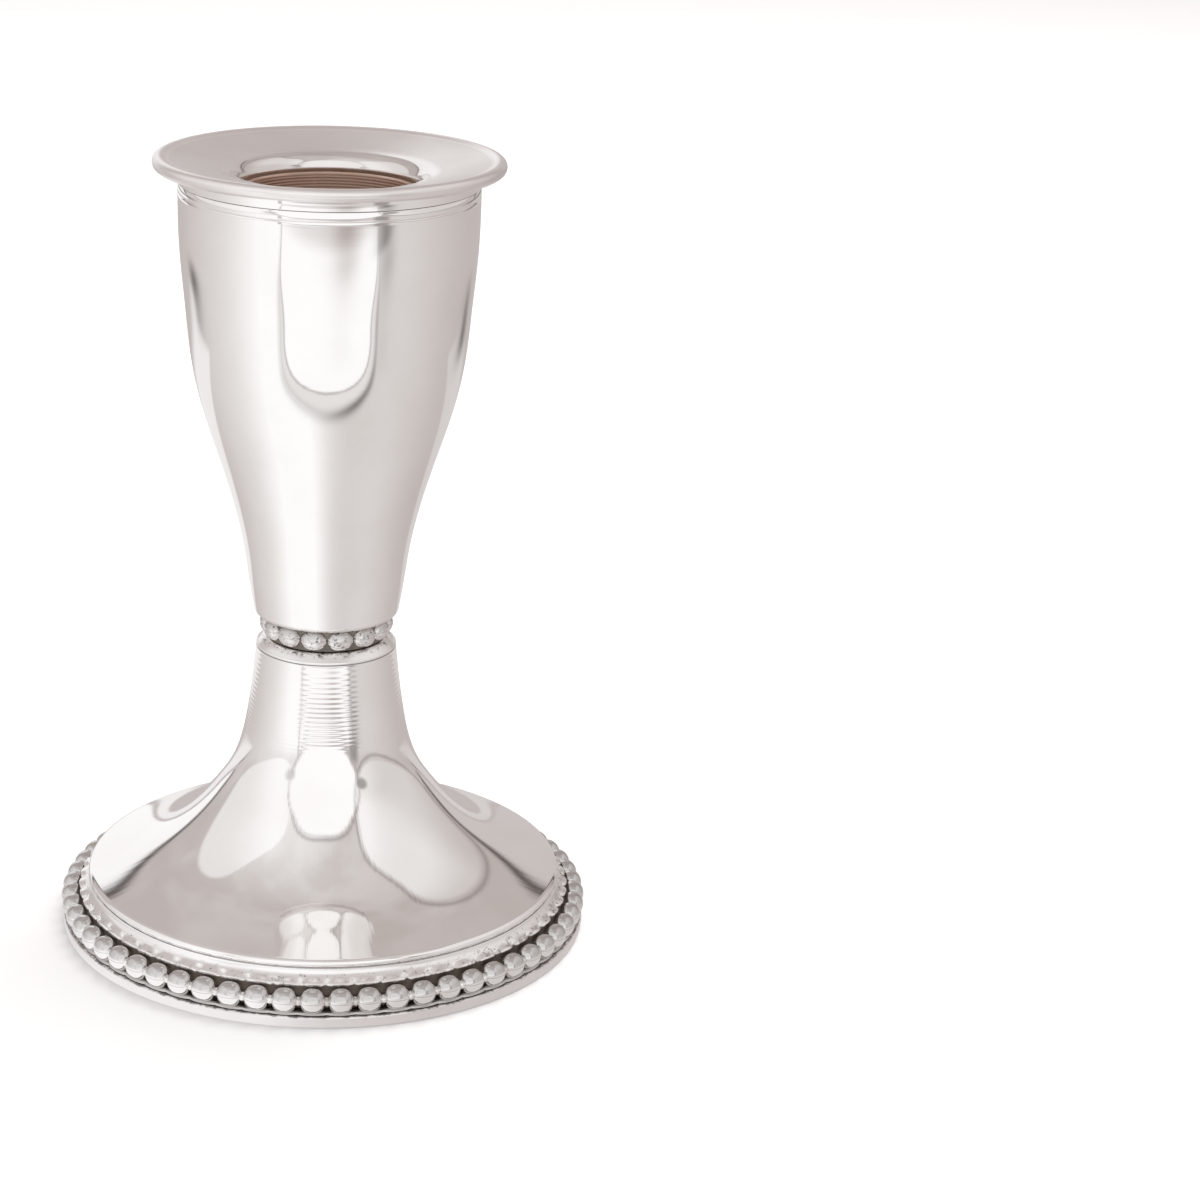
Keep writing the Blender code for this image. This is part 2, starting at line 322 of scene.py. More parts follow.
class Nodes:
    """Short names for the shader nodes that the materials and the world are made from."""

    def __init__(self, tree):
        self.tree = tree

    def new(self, kind, **settings):
        node = self.tree.nodes.new(kind)
        for key, value in settings.items():
            setattr(node, key, value)
        return node

    def link(self, value, socket):
        if isinstance(value, bpy.types.NodeSocket):
            self.tree.links.new(value, socket)
        else:
            socket.default_value = value

    def math(self, operation, *values, clamp=False):
        node = self.new("ShaderNodeMath", operation=operation, use_clamp=clamp)
        for value, socket in zip(values, node.inputs):
            self.link(value, socket)
        return node.outputs[0]

    def add(self, a, b):
        return self.math("ADD", a, b)

    def sub(self, a, b):
        return self.math("SUBTRACT", a, b)

    def mul(self, a, b):
        return self.math("MULTIPLY", a, b)

    def inverse(self, value):
        return self.sub(1.0, value)

    def highest(self, a, b):
        return self.math("MAXIMUM", a, b)

    def apart(self, value, middle):
        return self.math("ABSOLUTE", self.sub(value, middle))

    def bell(self, value):
        """1 where the value is 0, falling off smoothly on both sides."""
        return self.math("EXPONENT", self.mul(self.mul(value, value), -1.0))

    def step(self, value, low, high):
        """0 below low, 1 above high, smooth between them."""
        node = self.new("ShaderNodeMapRange", interpolation_type="SMOOTHSTEP", clamp=True)
        for socket, number in zip(node.inputs, (value, low, high)):
            self.link(number, socket)
        return node.outputs["Result"]

    def below(self, value, low, high):
        """1 below low, 0 above high, smooth between them."""
        return self.inverse(self.step(value, low, high))

    def scaled(self, value, low, high, to_low, to_high):
        """The value brought from the range low to high into the range to_low to to_high."""
        node = self.new("ShaderNodeMapRange", clamp=True)
        for socket, number in zip(node.inputs, (value, low, high, to_low, to_high)):
            self.link(number, socket)
        return node.outputs["Result"]

    def mix(self, factor, a, b):
        node = self.new("ShaderNodeMix", data_type="RGBA", clamp_factor=True)
        self.link(factor, node.inputs["Factor"])
        self.link((*a, 1.0) if isinstance(a, tuple) else a, node.inputs["A"])
        self.link((*b, 1.0) if isinstance(b, tuple) else b, node.inputs["B"])
        return node.outputs["Result"]

    def noise(self, vector, scale, detail=3.0, roughness=0.5, w=None):
        node = self.new("ShaderNodeTexNoise", noise_dimensions="4D" if w is not None else "3D")
        self.link(vector, node.inputs["Vector"])
        if w is not None:
            self.link(w, node.inputs["W"])
        node.inputs["Scale"].default_value = scale
        node.inputs["Detail"].default_value = detail
        node.inputs["Roughness"].default_value = roughness
        return node.outputs["Fac"]

    def length(self, a, b):
        return self.math("SQRT", self.add(self.mul(a, a), self.mul(b, b)))

    def combine(self, x, y, z):
        node = self.new("ShaderNodeCombineXYZ")
        for value, socket in zip((x, y, z), node.inputs):
            self.link(value, socket)
        return node.outputs[0]

    def separate(self, vector):
        node = self.new("ShaderNodeSeparateXYZ")
        self.link(vector, node.inputs[0])
        return node.outputs

    def bump(self, height, distance, strength=1.0, normal=None):
        node = self.new("ShaderNodeBump")
        node.inputs["Strength"].default_value = strength
        node.inputs["Distance"].default_value = distance
        self.link(height, node.inputs["Height"])
        if normal is not None:
            self.link(normal, node.inputs["Normal"])
        return node.outputs[0]


def new_material(name, metallic=0.0):
    material = bpy.data.materials.new(name)
    material.use_nodes = True
    shader = material.node_tree.nodes["Principled BSDF"]
    shader.inputs["Metallic"].default_value = metallic
    nodes = Nodes(material.node_tree)
    here = nodes.new("ShaderNodeTexCoord").outputs["Object"]
    return material, shader, nodes, here


def polish(nodes, here, across, along):
    """Fine lines that run round the axis, as turning and polishing leave them: 0 to 1."""
    x, y, z = nodes.separate(here)
    slow = nodes.combine(nodes.mul(x, along), nodes.mul(y, along), nodes.mul(nodes.length(x, y), across))
    return nodes.noise(slow, 1.0, 2.0, 0.5, w=nodes.mul(z, across))


def reach_and_height(nodes, here):
    """Distance from the axis and height, in millimetres."""
    x, y, z = nodes.separate(here)
    return nodes.mul(nodes.length(x, y), 1.0 / MM), nodes.mul(z, 1.0 / MM)


def radial_streaks(nodes, here, count):
    """Streaks that fan out from the axis: 0 to 1."""
    x, y = nodes.separate(here)[:2]
    angle = nodes.math("ARCTAN2", y, x)
    slow_reach = nodes.mul(reach_and_height(nodes, here)[0], 0.12)
    round_x, round_y = (nodes.mul(nodes.math(kind, angle), count) for kind in ("COSINE", "SINE"))
    return nodes.noise(nodes.combine(round_x, round_y, slow_reach), 1.0)


def silver_material(name, colour, shade, roughness, fine, satin=None, streaks=0.0):
    """Bright silver: cloudy breath marks, polishing lines round the axis and hair scratches.

    fine is the strength of the lines and scratches, and streaks the depth in mm of marks that fan out from the
    axis. satin(nodes, reach, height) is the roughness that is added where the metal is worn or brushed.
    """
    material, shader, nodes, here = new_material(name, 1.0)
    cloud = nodes.noise(here, 90.0, 4.0, 0.55)
    grain = polish(nodes, here, 2600.0, 60.0)
    hair = nodes.noise(here, 1800.0, 2.0, 0.6)
    nodes.link(nodes.mix(nodes.step(cloud, 0.35, 0.75), colour, shade), shader.inputs["Base Color"])
    breath = nodes.scaled(cloud, 0.3, 0.75, roughness, roughness * 1.9)
    smear = nodes.add(breath, nodes.mul(grain, fine * 0.03))
    if satin:
        smear = nodes.add(smear, satin(nodes, *reach_and_height(nodes, here)))
    nodes.link(smear, shader.inputs["Roughness"])
    relief = nodes.add(nodes.mul(grain, 0.7), nodes.mul(hair, 0.3))
    bumped = nodes.bump(relief, 0.0000016 * fine)
    if streaks:
        bumped = nodes.bump(radial_streaks(nodes, here, 55.0), streaks * MM, normal=bumped)
    nodes.link(bumped, shader.inputs["Normal"])
    return material, shader, nodes, here


def add_patina_and_shade(made, dark, tone=(0.07, 0.058, 0.05)):
    """Darkens a silver material with patina in its recesses and with painted shade; dark(nodes, reach, height,
    here) is 1 where these lie.
    """
    material, shader, nodes, here = made
    cover = dark(nodes, *reach_and_height(nodes, here), here)
    colour, rough = shader.inputs["Base Color"], shader.inputs["Roughness"]
    # mixes the tone of the patina and the painted shade into the base colour
    nodes.link(nodes.mix(cover, colour.links[0].from_socket, tone), colour)
    nodes.link(nodes.add(rough.links[0].from_socket, nodes.mul(cover, 0.25)), rough)
    return material


def bead_patina_and_painted_shade(circle_radius, middle, half, spotted=0.0):
    """Patina between the beads of a ring with painted shade on each bead's sides, painted shade on their upper
    halves, a painted reflection of the horizon as a thin dark line round their middles, and specks by the spotted
    share."""

    def dark(nodes, reach, height, here):
        out = nodes.sub(reach, circle_radius)
        up = nodes.sub(height, middle)
        speck = nodes.mul(nodes.sub(nodes.noise(here, 2400.0, 3.0), 0.5), 0.5)
        # dark away from each bead's centre: patina between the beads, and painted shade on each bead's sides
        crown = nodes.step(nodes.add(nodes.mul(nodes.length(out, up), 1.0 / half), speck), 0.1, 0.36)
        front = nodes.step(nodes.add(out, speck), -1.1 * half, -0.7 * half)
        specks = nodes.mul(nodes.step(nodes.noise(here, 1700.0, 4.0, 0.7), 0.57, 0.64), spotted)
        # painted shade on the beads' upper halves, plus specks
        painted_shade_and_specks = nodes.add(nodes.mul(nodes.step(up, 0.1 * half, 0.5 * half), 0.31), specks)
        # painted reflection of the horizon: a thin dark line round each bead's middle
        painted_horizon_line = nodes.below(nodes.apart(up, 0.06 * half), 0.02, 0.12)
        painted_shade_and_specks = nodes.add(painted_shade_and_specks, nodes.mul(painted_horizon_line, 0.25))
        return nodes.highest(nodes.inverse(nodes.mul(crown, front)), painted_shade_and_specks)

    return dark


def strip_patina_and_shade(nodes, reach, height, here):
    """Patina thick behind the beads with painted shade under the flange's scalloped edge there, patina in pits on
    the flange, and heavier on one side of the piece.
    """
    bead_tops = 4.92
    speck = nodes.noise(here, 1500.0, 4.0, 0.65)
    side = nodes.step(nodes.separate(here)[0], -12 * MM, 30 * MM)
    edge = nodes.add(bead_tops, nodes.add(nodes.mul(side, 0.2), nodes.mul(speck, 0.5)))
    # dark behind the beads: patina there, and painted shade under the flange's scalloped edge
    behind = nodes.below(nodes.sub(height, edge), -0.1, 0.12)
    pits = nodes.mul(nodes.step(nodes.add(speck, nodes.mul(side, 0.05)), 0.58, 0.68), 0.55)
    pits = nodes.mul(pits, nodes.below(height, 6.1, 6.5))
    skirt = nodes.step(reach, 36.1, 36.5)
    return nodes.highest(nodes.mul(behind, nodes.inverse(nodes.mul(skirt, 0.6))), pits)


def wall_grime_and_dark_lines(nodes, reach, height, here):
    """Grime in pits below the dish's edge and in flecks on the neck's ledge, a darker line under the dish's edge,
    and a darker line in the groove there.
    """
    wall_line, ledge_groove = 7.16, 41.32
    low_wall = nodes.below(height, 5.9, 6.35)
    outside = nodes.step(reach, 32.9, 33.15)
    pits = nodes.step(nodes.noise(here, 1300.0, 4.0, 0.65), 0.54, 0.66)
    # a darker line under the dish's edge
    line = nodes.below(nodes.apart(height, wall_line), 0.03, 0.09)
    pits_and_dark_line = nodes.mul(outside, nodes.mul(nodes.highest(nodes.mul(low_wall, pits), line), 0.8))
    flecks = nodes.step(nodes.noise(here, 1100.0, 4.0, 0.65), 0.53, 0.6)
    ledge = nodes.mul(nodes.step(height, 41.95, 42.5), flecks)
    # a darker line in the groove under the lip
    crescent = nodes.mul(nodes.below(nodes.apart(height, ledge_groove), 0.05, 0.13), 0.7)
    return nodes.highest(pits_and_dark_line, nodes.highest(nodes.mul(ledge, 0.75), crescent))


def band_patina(nodes, reach, height, here):
    """Grime where the band meets the beads above it."""
    speck = nodes.mul(nodes.noise(here, 900.0, 4.0, 0.65), 0.9)
    return nodes.mul(nodes.step(nodes.add(height, speck), 1.95, 2.2), 0.8)


def pan_satin(nodes, reach, height):
    """The dish and lip are brushed by wiping; the round into the socket stays bright."""
    return nodes.mul(nodes.step(reach, 13.6, 15.2), 0.2)


def foot_satin(nodes, reach, height):
    """The ledge under the neck beads is duller, and so is the outer part of the dish, a little."""
    ledge = nodes.mul(nodes.step(height, 41.3, 41.5), 0.22)
    return nodes.add(ledge, nodes.mul(nodes.step(reach, 14.0, 30.0), 0.012))


BRIGHT = (0.93, 0.915, 0.905)
BREATH = (0.90, 0.88, 0.865)
SILVER = silver_material("silver_polished", BRIGHT, BREATH, 0.02, 0.8)[0]
PAN_SILVER = silver_material("pan_silver", (0.81, 0.78, 0.765), (0.77, 0.735, 0.72), 0.06, 1.5, pan_satin)[0]
RIM_SILVER = silver_material("rim_silver", (0.88, 0.85, 0.835), (0.83, 0.795, 0.78), 0.06, 1.5, pan_satin)[0]


# ---------------------------------------------------------------- nozzle

THROAT_MOUTH = SOCKET_RADIUS + 0.2
THROAT_CENTRE = (THROAT_MOUTH + THROAT_ROUND, THROAT_BOTTOM + 0.3)
THROAT_TURN = 90.0 + math.degrees(PAN_SLOPE)
THROAT_TOP = arc(THROAT_CENTRE, THROAT_ROUND, THROAT_TURN, 0.0, 2)[0]


def pan_height(radius):
    """The dish's top surface, which rises towards the rim."""
    return THROAT_TOP[1] + (radius - THROAT_TOP[0]) * math.tan(PAN_SLOPE)


def drip_pan():
    """The dish, with the round down into the socket and a cove over the collar."""
    edge = RIM_CENTRE[0] - 0.75
    cove_round = 0.62
    seat_height = COLLAR_TOP + 0.02
    over = arc(THROAT_CENTRE, THROAT_ROUND, 180.0, THROAT_TURN, 28)
    dish = [(r, pan_height(r)) for r in np.linspace(THROAT_TOP[0], edge, 24)[1:]]
    under = [
        (edge, pan_height(edge) - PAN_SHEET),
        (COLLAR_OUTER + 0.9, pan_height(COLLAR_OUTER) - PAN_SHEET - 0.03),
    ]
    cove = arc((COLLAR_OUTER + cove_round, COLLAR_TOP + 0.05), cove_round, 75.0, 180.0, 10)
    seat = [
        (COLLAR_OUTER - 0.02, seat_height),
        (COLLAR_INNER, seat_height),
        (COLLAR_INNER, pan_height(COLLAR_INNER) - PAN_SHEET),
    ]
    back = arc(THROAT_CENTRE, THROAT_ROUND - PAN_SHEET, THROAT_TURN, 180.0, 8)
    profile = [(THROAT_MOUTH, THROAT_BOTTOM)] + over + dish + under + cove + seat + back
    profile.append((THROAT_MOUTH + PAN_SHEET, THROAT_BOTTOM))
    pan = turned("pan_dish", profile, PAN_SILVER, shape=hand_finish(0.006, 3))
    place(pan, "nozzle", "silver", "drip_pan")


def pan_rim():
    """The round wire, with a soldered toe that runs out onto the dish."""
    toe_edge, toe_bottom = 21.35, 109.3
    toe = [(r, pan_height(r) + 0.012) for r in (toe_edge, toe_edge + 0.15)]
    rise = smooth_outline(toe[-1:] + [(21.95, 109.79), (22.3, 109.93), (RIM_CENTRE[0], HEIGHT)], 12)[1:]
    round_wire = arc(RIM_CENTRE, RIM_WIRE, 90.0, -170.0, 40)[1:]
    profile = toe + rise + round_wire + [(toe_edge + 0.25, toe_bottom), (toe_edge, toe_bottom)]
    place(turned("pan_rim_lip", profile, RIM_SILVER), "nozzle", "silver", "pan_rim_wire")


def pan_collar():
    """The band under the pan, with the spigot that stands in the vase's mouth."""
    profile = rounded(
        [
            (COLLAR_OUTER, COLLAR_TOP, 0.09),
            (COLLAR_OUTER, COLLAR_SHOULDER, 0.07),
            (SPIGOT_RADIUS, COLLAR_SHOULDER, 0.05),
            (SPIGOT_RADIUS, COLLAR_BOTTOM, 0.3),
            (COLLAR_INNER, COLLAR_BOTTOM, 0.1),
            (COLLAR_INNER, COLLAR_TOP, 0.1),
        ]
    )
    place(turned("collar_band", profile, SILVER), "nozzle", "silver", "pan_collar")


def candle_socket():
    """The sleeve, with the fine rings that its boring tool left."""
    top = THROAT_BOTTOM - 0.02
    ease = 0.2
    tool_pitch, tool_mark = 0.42, 0.012
    bore = [
        (SOCKET_RADIUS + tool_mark * math.sin(FULL_TURN * z / tool_pitch), z)
        for z in np.arange(SLEEVE_BOTTOM + 1.2, top - 0.25, tool_pitch / 5)
    ]
    outside = [(SLEEVE_OUTER, top), (SLEEVE_OUTER, SLEEVE_BOTTOM + ease), (SLEEVE_OUTER - ease, SLEEVE_BOTTOM)]
    profile = [(SOCKET_RADIUS, SLEEVE_BOTTOM)] + bore + [(SOCKET_RADIUS + 0.1, top)] + outside
    sleeve = turned("socket_bore", profile, SOCKET_SILVER, steps=192)
    place(sleeve, "nozzle", "socket_silver", "socket_sleeve")


def socket_floor():
    """The disc that the candle stands on, faced off in shallow rings round a small centre mark."""
    edge, ease = radius_of("socket_floor"), 0.1
    low, high = bottom_of("socket_floor"), top_of("socket_floor")
    ring_pitch, ring_depth = 0.8, 0.015
    rings = [
        (r, high - ring_depth * (1 + math.cos(FULL_TURN * r / ring_pitch)))
        for r in np.arange(edge - 0.4, 0.3, -ring_pitch / 5)
    ]
    rim = [(edge, high - ease), (edge, low + ease), (edge - ease, low)]
    disc = [(0.0, high - 0.12)] + rings[::-1] + rim + [(0.0, low)]
    floor = turned("socket_floor_disc", disc, SOCKET_SILVER, closed=False, steps=128)
    place(floor, "nozzle", "socket_silver", "socket_floor")


# ---------------------------------------------------------------- stand

def vase():
    """The vase-shaped body: an eased mouth, one turned line, the wall, a rounded bottom edge and a floor."""
    mouth = COLLAR_SHOULDER - SEAM
    line_height = 105.2
    bottom_round = 1.0
    floor_top = VASE_BOTTOM + SHEET
    mouth_inner = COLLAR_OUTER - SHEET
    lip = [(COLLAR_OUTER - 0.06, mouth), (COLLAR_OUTER, mouth - 0.08), (COLLAR_OUTER, line_height + 0.15)]
    line = groove(line_height, COLLAR_OUTER, 0.07, 0.1)
    wall = smooth_outline(VASE_OUTLINE, 130)
    round_centre = (VASE_OUTLINE[-1][0] - bottom_round, VASE_BOTTOM + bottom_round)
    edge = arc(round_centre, bottom_round, 0.0, -90.0, 10)[1:]
    floor = [(STUD_HOLE, VASE_BOTTOM), (STUD_HOLE, floor_top), (8.6, floor_top)]
    inner = offset(smooth_outline(VASE_OUTLINE, 50), SHEET)
    back = [point for point in inner if point[1] > floor_top + 0.8][::-1]
    inner_lip = [(mouth_inner, mouth - 0.1), (mouth_inner + 0.1, mouth)]
    profile = lip + line + wall + edge + floor + back + inner_lip
    shell = turned("vase_body", profile, SILVER, shape=hand_finish(0.012, 5))
    line_inside(shell, SILVER_INSIDE)
    place(shell, "stand", "silver", "vase_shell")


def neck():
    """The ring of beads between the vase and the foot, on a dark core."""
    low, high = FOOT_TOP + 0.04, VASE_BOTTOM - 0.04
    inner, outer = 6.7, NECK_CIRCLE + 0.35
    core = rounded([(outer, high), (outer, low), (inner, low), (inner, high)])
    place(turned("neck_core", core, CORE_SILVER, steps=112), "stand", "bead_silver", "neck_bead_ring")
    angles, size = ring_angles(NECK_BEADS), (1.84, 1.36, 1.5)
    beads = bead_ring("neck_beads", angles, NECK_CIRCLE, NECK_MIDDLE, size, 40, NECK_SILVER, 0.08, 0.78)
    place(beads, "stand", "bead_silver", "neck_bead_ring")


def ripple(height):
    """Shallow rings that the spinning tool left on the trumpet's slim part; their pitch widens upwards."""
    if height <= RIPPLES_FROM:
        return 0.0
    depth, first_pitch, widening = 0.0075, 0.53, 0.0225
    fade = math.exp(-(((height - 35.2) / 5.9) ** 8))
    turns = math.log(1.0 + widening * (height - RIPPLES_FROM) / first_pitch) / widening
    return depth * fade * math.sin(FULL_TURN * turns)


def foot():
    """The trumpet-shaped foot: sloped ledge, lip and groove at the neck, then the dish and its turned-down edge."""
    ledge = [(7.9, FOOT_TOP), (8.6, FOOT_TOP - 0.22), (9.2, FOOT_TOP - 0.7), (9.6, FOOT_TOP - 1.12)]
    lip = arc((9.5, 41.5), 0.3, 60.0, 0.0, 6) + groove(41.3, 9.8, 0.06, 0.09)
    trumpet = [(r + ripple(z), z) for r, z in smooth_outline(FOOT_OUTLINE, 260)]
    edge = [(33.42, 8.02), (33.56, 7.8), (33.6, 7.6), (33.58, 7.4), (33.5, 7.28)]
    step = [(33.2, 7.2), (33.2, 7.1)]
    wall = [(FOOT_WALL, 7.04), (FOOT_WALL, bottom_of("foot_shell"))]
    inside = [(FOOT_WALL - SHEET, wall[-1][1]), (FOOT_WALL - SHEET, 7.0)]
    under = offset(smooth_outline(FOOT_OUTLINE, 40), SHEET)[-3::-1]
    top = [(9.0, FOOT_TOP - SHEET), (STUD_HOLE, FOOT_TOP - SHEET), (STUD_HOLE, FOOT_TOP)]
    profile = top[-1:] + smooth_outline(ledge, 10) + lip + trumpet + edge + step + wall + inside + under + top[:-1]
    body = turned("foot_body", profile, FOOT_SILVER, shape=hand_finish(0.012, 11))
    place(body, "stand", "silver", "foot_shell")


def ramp(values, start, run):
    """0 before the start and 1 after the run, straight between them."""
    return np.clip((values - start) / run, 0.0, 1.0)


def scallop(angles, radii, heights):
    """The strip's flanges follow the beads: out and level over a bead, in and lower between two."""
    depth = 0.3
    over_bead = np.abs(np.cos(BASE_BEADS / 2 * (angles + math.pi / 2 - math.pi / BASE_BEADS))) ** 0.7
    high = ramp(heights, 4.9, 0.5) * ramp(radii, 34.0, 0.5)
    low = ramp(-heights, -2.2, 0.4) * ramp(radii, 35.8, 0.8)
    return radii + depth * (high + low) * (over_bead - 0.5), heights - depth * high * (1 - over_bead)


def bead_border():
    """The strip that carries the foot's beads, the beads, and the small links between them."""
    fillet = smooth_outline([(33.36, 6.98), (33.48, 6.5), (33.85, 6.08), (34.7, 5.62)], 14)
    strip = rounded(
        [
            *((*point, 0.0) for point in fillet),
            (34.88, 5.46, 0.08),
            (34.88, 5.25, 0.08),
            (34.98, 4.6, 0.1),
            (35.25, 4.0, 0.1),
            (35.3, 3.0, 0.1),
            (35.6, 2.3, 0.1),
            (36.6, 2.02, 0.12),
            (36.85, 1.74, 0.08),
            (33.62, 1.74, 0.05),
        ],
        count=4,
    )
    strip_ring = turned("border_strip", strip, STRIP_SILVER, steps=BASE_BEADS * 12, shape=scallop)
    place(strip_ring, "stand", "bead_silver", "bead_border")
    angles, size = ring_angles(BASE_BEADS), (1.86, 1.6, 1.7)
    beads = bead_ring("border_beads", angles, BEAD_CIRCLE, BEAD_MIDDLE, size, 36, BEAD_SILVER, 0.03, 0.82)
    place(beads, "stand", "bead_silver", "bead_border")
    angles, size = ring_angles(BASE_BEADS, 0.0), (0.6, 0.9, 0.66)
    links = bead_ring("border_links", angles, BEAD_CIRCLE + 0.1, BEAD_MIDDLE, size, 14, LINK_SILVER, 0.2)
    place(links, "stand", "bead_silver", "bead_border")


def base_ring():
    """The plain band that the border stands on."""
    inner, low = FELT_RADIUS + 0.4, 0.12
    profile = rounded(
        [
            (RING_OUTER - 0.05, RING_TOP + 0.1, 0.35),
            (RING_OUTER, low, 0.4),
            (inner, low, 0.1),
            (inner, RING_TOP, 0.1),
        ],
        count=8,
    )
    place(turned("base_band", profile, BAND_SILVER), "stand", "silver", "base_ring")


def felt_underside():
    """Thick felt with a soft cut edge; its nap is uneven by a few hundredths."""
    edge, top = FELT_RADIUS, top_of("felt_pad")
    flat = [(r, 0.02) for r in np.linspace(0.0, edge - 0.5, 60)]
    side = [
        (edge - 0.2, 0.05),
        (edge - 0.05, 0.2),
        (edge - 0.02, 0.6),
        (edge - 0.05, top - 0.15),
        (edge - 0.3, top),
    ]

    def nap(angles, radii, heights):
        rise = 1 + np.sin(23 * angles + 2.1 * radii) * np.sin(3.7 * radii - 11 * angles)
        return radii - 0.05 * rise * (radii > edge - 0.6), heights + 0.015 * rise * (radii > 0.1)

    pad = turned("felt_underside", flat + side + [(0.0, top)], FELT, closed=False, steps=192, shape=nap)
    place(pad, "stand", "felt", "felt_pad")


def tie_stud():
    """The stud with its rolled thread, a real helix."""
    radius, pitch, depth = radius_of("tie_stud"), 0.8, 0.42
    low, high = bottom_of("tie_stud"), top_of("tie_stud")
    end_radius = radius - 0.5
    rod = [(radius, z) for z in np.arange(high - 0.4, low + 0.4, -pitch / 8)]
    profile = [(0.0, high), (end_radius, high)] + rod + [(end_radius, low), (0.0, low)]

    def thread(angles, radii, heights):
        turn = (heights / pitch - angles / FULL_TURN) % 1.0
        cut = depth * (1 - np.abs(2 * turn - 1.0)) * (radii > radius - 0.1)
        return radii - cut, heights

    place(turned("stud_thread", profile, STEEL, False, 48, thread, 60.0), "stand", "zinc_steel", "tie_stud")


def nut(node):
    """A hexagonal nut with its corners turned down at both faces."""
    flat, low, high = radius_of(node), bottom_of(node), top_of(node)
    corner = flat / math.cos(math.pi / 6)
    ease, turned_down = 0.2, 0.35
    profile = [
        (STUD_HOLE, low + ease),
        (STUD_HOLE + ease, low),
        (flat - 0.1, low),
        (corner, low + turned_down),
        (corner, high - turned_down),
        (flat - 0.1, high),
        (STUD_HOLE + ease, high),
        (STUD_HOLE, high - ease),
    ]

    def hexagon(angles, radii, heights):
        sixth = math.pi / 3
        side = flat / np.cos((angles + sixth / 2) % sixth - sixth / 2)
        return np.minimum(radii, side), heights

    chamfered = turned(node + "_chamfered", profile, BRASS, steps=144, shape=hexagon, sharp=25.0)
    place(chamfered, "stand", "brass", node)


def dress(material, *nodes):
    """Gives CAD nodes that keep their own shape a full material."""
    for node in nodes:
        for slot in frame["nodes"][node].material_slots:
            slot.material = material


def hidden_pieces():
    """The pieces inside and underneath: four with their own detail, the others in the frame's shapes."""
    felt_underside()
    tie_stud()
    nut("upper_nut")
    nut("lower_nut")
    dress(SILVER_INSIDE, "vase_seat_ring", "neck_spool")
    dress(STEEL, "upper_washer", "spreader_washer")
    dress(PLASTER, "weight_fill")
    dress(BOARD, "base_plate")


# ---------------------------------------------------------------- studio

def studio_floor():
    """The white paper; the silver reflects mirrored_table instead of it."""
    build = bmesh.new()
    bmesh.ops.create_grid(build, x_segments=8, y_segments=8, size=4.0)
    floor = finish_mesh("studio_floor", build, PAPER)
    floor.visible_glossy = False


def paper_material():
    material, shader, nodes, here = new_material("studio_paper")
    fleck = nodes.noise(here, 40.0, 2.0)
    nodes.link(nodes.mix(fleck, (0.90, 0.90, 0.90), (0.92, 0.92, 0.92)), shader.inputs["Base Color"])
    shader.inputs["Roughness"].default_value = 0.9
    shader.inputs["Specular IOR Level"].default_value = 0.1
    return material


def plain_material(name, metallic, light, shade, rough, grain, relief, stretch=(1.0, 1.0, 1.0)):
    """A mottled material: grain is the size of its mottling in 1/m, relief its bump in metres."""
    material, shader, nodes, here = new_material(name, metallic)
    x, y, z = nodes.separate(here)
    place_in = nodes.combine(*(nodes.mul(value, factor) for value, factor in zip((x, y, z), stretch)))
    mottle = nodes.noise(place_in, grain, 5.0, 0.6)
    fleck = nodes.noise(place_in, grain * 6.0, 3.0, 0.6)
    cover = nodes.step(nodes.add(nodes.mul(mottle, 0.7), nodes.mul(fleck, 0.3)), 0.35, 0.65)
    nodes.link(nodes.mix(cover, light, shade), shader.inputs["Base Color"])
    nodes.link(nodes.scaled(fleck, 0.3, 0.7, rough[0], rough[1]), shader.inputs["Roughness"])
    nodes.link(nodes.bump(nodes.add(nodes.mul(mottle, 0.5), fleck), relief), shader.inputs["Normal"])
    return material, shader


def felt_material():
    material, shader = plain_material(
        "green_felt", 0.0, (0.035, 0.15, 0.085), (0.018, 0.09, 0.05), (0.85, 1.0), 900.0, 0.0001
    )
    shader.inputs["Sheen Weight"].default_value = 0.4
    shader.inputs["Sheen Roughness"].default_value = 0.6
    shader.inputs["Specular IOR Level"].default_value = 0.15
    return material


def camera():
    data = bpy.data.cameras.new("camera")
    data.lens = 88.26
    data.sensor_width = 36.0
    data.shift_x = 0.08
    data.clip_start = 0.01
    data.clip_end = 20.0
    obj = bpy.data.objects.new("camera", data)
    stand = Matrix.Translation((-5.05 * MM, -389.08 * MM, 182.19 * MM))
    pan = Matrix.Rotation(math.radians(-4.395), 4, "Z")
    pitch = Matrix.Rotation(math.radians(90.0 - 19.023), 4, "X")
    roll = Matrix.Rotation(math.radians(1.675), 4, "Z")
    obj.matrix_world = stand @ pan @ pitch @ roll
    bpy.context.scene.collection.objects.link(obj)
    bpy.context.scene.camera = obj


def lamp(name, place_at, size, power):
    """A soft overhead lamp that lights the paper; the silver mirrors the studio walls instead of it."""
    aim = Vector((0.0, 0.0, 0.05))
    data = bpy.data.lights.new(name, "AREA")
    data.shape = "ELLIPSE"
    data.size, data.size_y = size
    data.energy = power
    obj = bpy.data.objects.new(name, data)
    obj.location = place_at
    obj.rotation_euler = (aim - Vector(place_at)).to_track_quat("-Z", "Y").to_euler()
    obj.visible_glossy = False
    bpy.context.scene.collection.objects.link(obj)


